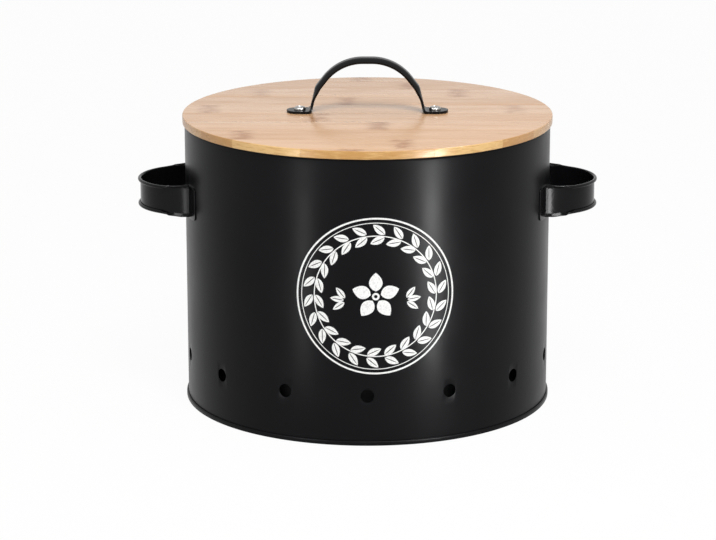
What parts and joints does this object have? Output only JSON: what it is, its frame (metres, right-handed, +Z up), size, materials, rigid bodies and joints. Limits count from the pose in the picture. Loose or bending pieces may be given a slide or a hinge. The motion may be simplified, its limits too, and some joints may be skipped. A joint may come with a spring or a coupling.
{
  "type": "storage bin",
  "caption": "Round steel storage bin with a row of vent holes near its foot, a strap handle on each side and a flat bamboo lid with a bow pull.",
  "frame": {"origin": "middle of the foot ring, on the surface that the bin stands on", "axes": "+Z up, +X through the two side handles, -Y the front with the print and a vent hole on it"},
  "size_m": [0.3284, 0.264, 0.2458],
  "materials": {
    "black_coat": "satin black powder coat on sheet steel",
    "bamboo": "sanded and clear-lacquered bamboo, grain along X",
    "pull_coat": "satin black coat on stamped steel",
    "screw_plate": "bright nickel plate",
    "wall_print": "white screen-printed ink on the coat, drawn only in the visual model"
  },
  "bodies": {
    "bin": {"body_shell": "black_coat", "base_panel": "black_coat", "left_handle": "black_coat", "right_handle": "black_coat"},
    "lid": {"lid_stave_01": "bamboo", "lid_stave_02": "bamboo", "lid_stave_03": "bamboo", "lid_stave_04": "bamboo", "lid_stave_05": "bamboo", "lid_stave_06": "bamboo", "lid_stave_07": "bamboo", "lid_stave_08": "bamboo", "lid_stave_09": "bamboo", "lid_stave_10": "bamboo", "lid_plug": "bamboo", "lid_pull": "pull_coat", "pull_screws": "screw_plate"}
  },
  "joints": [
    {"name": "lid_lift", "type": "slide", "parent": "bin", "child": "lid", "axis": [0, 0, 1], "range_m": [0, 0.15]}
  ]
}
